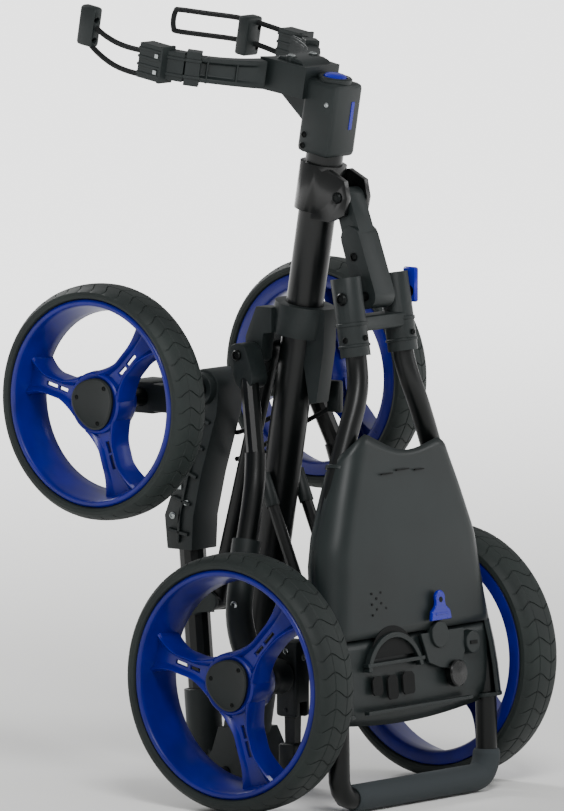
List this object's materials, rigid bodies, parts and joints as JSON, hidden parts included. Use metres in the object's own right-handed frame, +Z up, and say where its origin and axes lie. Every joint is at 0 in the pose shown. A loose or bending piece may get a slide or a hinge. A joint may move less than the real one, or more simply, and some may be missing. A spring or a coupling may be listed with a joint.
{
  "type": "golf push trolley",
  "caption": "Folding golf push trolley with large spoked wheels front and rear, a bag cradle, a console and a foam-grip handle, shown folded.",
  "frame": {"origin": "middle of the sole of the foot casting, on the floor", "axes": "+X to the right seen from the handle side, along the axles; +Y towards the bag side and the upper wheels; +Z up"},
  "size_m": [0.451, 0.4823, 0.8809],
  "materials": {
    "tyre_rubber": "matt foamed rubber",
    "blue_nylon": "moulded, semi-gloss",
    "dark_plastic": "moulded, satin",
    "blue_gloss": "moulded, gloss",
    "elastic_cord": "braided elastic cord",
    "steel": "zinc plated",
    "black_tube": "powder coated black",
    "grip_foam": "matt foam",
    "console_plastic": "fine textured",
    "light_plastic": "moulded",
    "grey_nylon": "glass-filled nylon, satin"
  },
  "bodies": {
    "frame": {"bag_strap_left": "elastic_cord", "bag_strap_right": "elastic_cord", "clevis_pin": "steel", "cradle_arm_left": "grey_nylon", "cradle_arm_right": "grey_nylon", "fold_pin": "steel", "foot_casting": "grey_nylon", "handle_clevis": "grey_nylon", "head_housing": "grey_nylon", "main_tube": "black_tube", "strap_slider": "dark_plastic", "strap_toggle": "dark_plastic"},
    "front_frame": {"front_tube": "black_tube", "front_knuckle": "grey_nylon", "link_clamp": "grey_nylon", "front_casting": "grey_nylon", "front_axle": "black_tube", "lower_cradle_left": "grey_nylon", "lower_cradle_right": "grey_nylon", "lower_strap": "elastic_cord", "strap_hook": "light_plastic"},
    "slider": {"slider_collar": "grey_nylon", "leg_pin": "steel"},
    "drag_link": {"drag_link": "black_tube"},
    "rear_legs": {"leg_bracket_left": "grey_nylon", "leg_bracket_right": "grey_nylon", "leg_tube_left": "black_tube", "leg_tube_right": "black_tube", "leg_casting_left": "grey_nylon", "leg_casting_right": "grey_nylon", "axle_prong_left": "black_tube", "axle_prong_right": "black_tube", "prong_cap_left": "light_plastic", "prong_cap_right": "light_plastic", "rear_axle": "black_tube", "brake_housing": "grey_nylon"},
    "brake_pedal": {"brake_pedal": "grey_nylon"},
    "handle_arm": {"handle_arm": "grey_nylon"},
    "handle": {"handle_pin": "steel", "handle_yoke": "grey_nylon", "handle_tube": "black_tube", "foam_grip": "grip_foam", "console_tray": "console_plastic"},
    "cam_lever": {"cam_lever": "blue_gloss"},
    "console_lid": {"console_lid": "console_plastic"},
    "console_latch": {"console_latch": "blue_gloss"},
    "head_button": {"head_button": "blue_gloss"},
    "rear_wheel_left": {"rear_wheel_left_tyre": "tyre_rubber", "rear_wheel_left_rim": "blue_nylon", "rear_wheel_left_hub_cap": "dark_plastic"},
    "rear_wheel_right": {"rear_wheel_right_tyre": "tyre_rubber", "rear_wheel_right_rim": "blue_nylon", "rear_wheel_right_hub_cap": "dark_plastic"},
    "front_wheel_left": {"front_wheel_left_tyre": "tyre_rubber", "front_wheel_left_rim": "blue_nylon", "front_wheel_left_hub_cap": "dark_plastic"},
    "front_wheel_right": {"front_wheel_right_tyre": "tyre_rubber", "front_wheel_right_rim": "blue_nylon", "front_wheel_right_hub_cap": "dark_plastic"}
  },
  "joints": [
    {"name": "frame_fold", "type": "hinge", "parent": "frame", "child": "front_frame", "pos_m": [0, 0.04, 0.015], "axis": [-1, 0, 0], "range_deg": [0, 84], "deforming": ["lower_strap", "strap_hook"]},
    {"name": "collar_slide", "type": "slide", "parent": "frame", "child": "slider", "axis": [0, 0.1676, -0.9859], "range_m": [0, 0.263]},
    {"name": "leg_swing", "type": "hinge", "parent": "slider", "child": "rear_legs", "pos_m": [0, -0.005, 0.493], "axis": [-1, 0, 0], "range_deg": [0, 58.5]},
    {"name": "link_swing", "type": "hinge", "parent": "slider", "child": "drag_link", "pos_m": [0, -0.005, 0.493], "axis": [1, 0, 0], "range_deg": [0, 28.5]},
    {"name": "arm_swing", "type": "hinge", "parent": "frame", "child": "handle_arm", "pos_m": [0, -0.116, 0.673], "axis": [-1, 0, 0], "range_deg": [0, 149]},
    {"name": "handle_angle", "type": "hinge", "parent": "handle_arm", "child": "handle", "pos_m": [0, -0.153, 0.565], "axis": [-1, 0, 0], "range_deg": [0, 20]},
    {"name": "cam_lever_swing", "type": "hinge", "parent": "handle", "child": "cam_lever", "pos_m": [0.0668, -0.1535, 0.556], "axis": [0, 1, 0], "range_deg": [0, 80]},
    {"name": "lid_hinge", "type": "hinge", "parent": "handle", "child": "console_lid", "pos_m": [0, -0.193, 0.407], "axis": [-1, 0, 0], "range_deg": [0, 75]},
    {"name": "latch_slide", "type": "slide", "parent": "console_lid", "child": "console_latch", "axis": [0, 0.0889, 0.996], "range_m": [0, 0.003], "stiffness_N_per_m": 200},
    {"name": "button_press", "type": "slide", "parent": "frame", "child": "head_button", "axis": [0, 0.1676, -0.9859], "range_m": [0, 0.0045], "stiffness_N_per_m": 400},
    {"name": "pedal_swing", "type": "hinge", "parent": "rear_legs", "child": "brake_pedal", "pos_m": [-0.09, -0.108, 0.106], "axis": [-1, 0, 0], "range_deg": [0, 18]},
    {"name": "rear_wheel_left_spin", "type": "hinge", "parent": "rear_legs", "child": "rear_wheel_left", "pos_m": [-0.184, -0.108, 0.145], "axis": [1, 0, 0], "continuous": true},
    {"name": "rear_wheel_right_spin", "type": "hinge", "parent": "rear_legs", "child": "rear_wheel_right", "pos_m": [0.184, -0.108, 0.145], "axis": [1, 0, 0], "continuous": true},
    {"name": "front_wheel_left_spin", "type": "hinge", "parent": "front_frame", "child": "front_wheel_left", "pos_m": [-0.199, 0.075, 0.447], "axis": [1, 0, 0], "continuous": true},
    {"name": "front_wheel_right_spin", "type": "hinge", "parent": "front_frame", "child": "front_wheel_right", "pos_m": [0.199, 0.075, 0.447], "axis": [1, 0, 0], "continuous": true}
  ],
  "couplings": [
    {"joint": "collar_slide", "follows": "frame_fold", "m_per_rad": 0.17871},
    {"joint": "leg_swing", "follows": "frame_fold", "ratio": 0.69048},
    {"joint": "link_swing", "follows": "frame_fold", "ratio": 0.33333},
    {"joint": "arm_swing", "follows": "frame_fold", "ratio": 1.7619}
  ]
}
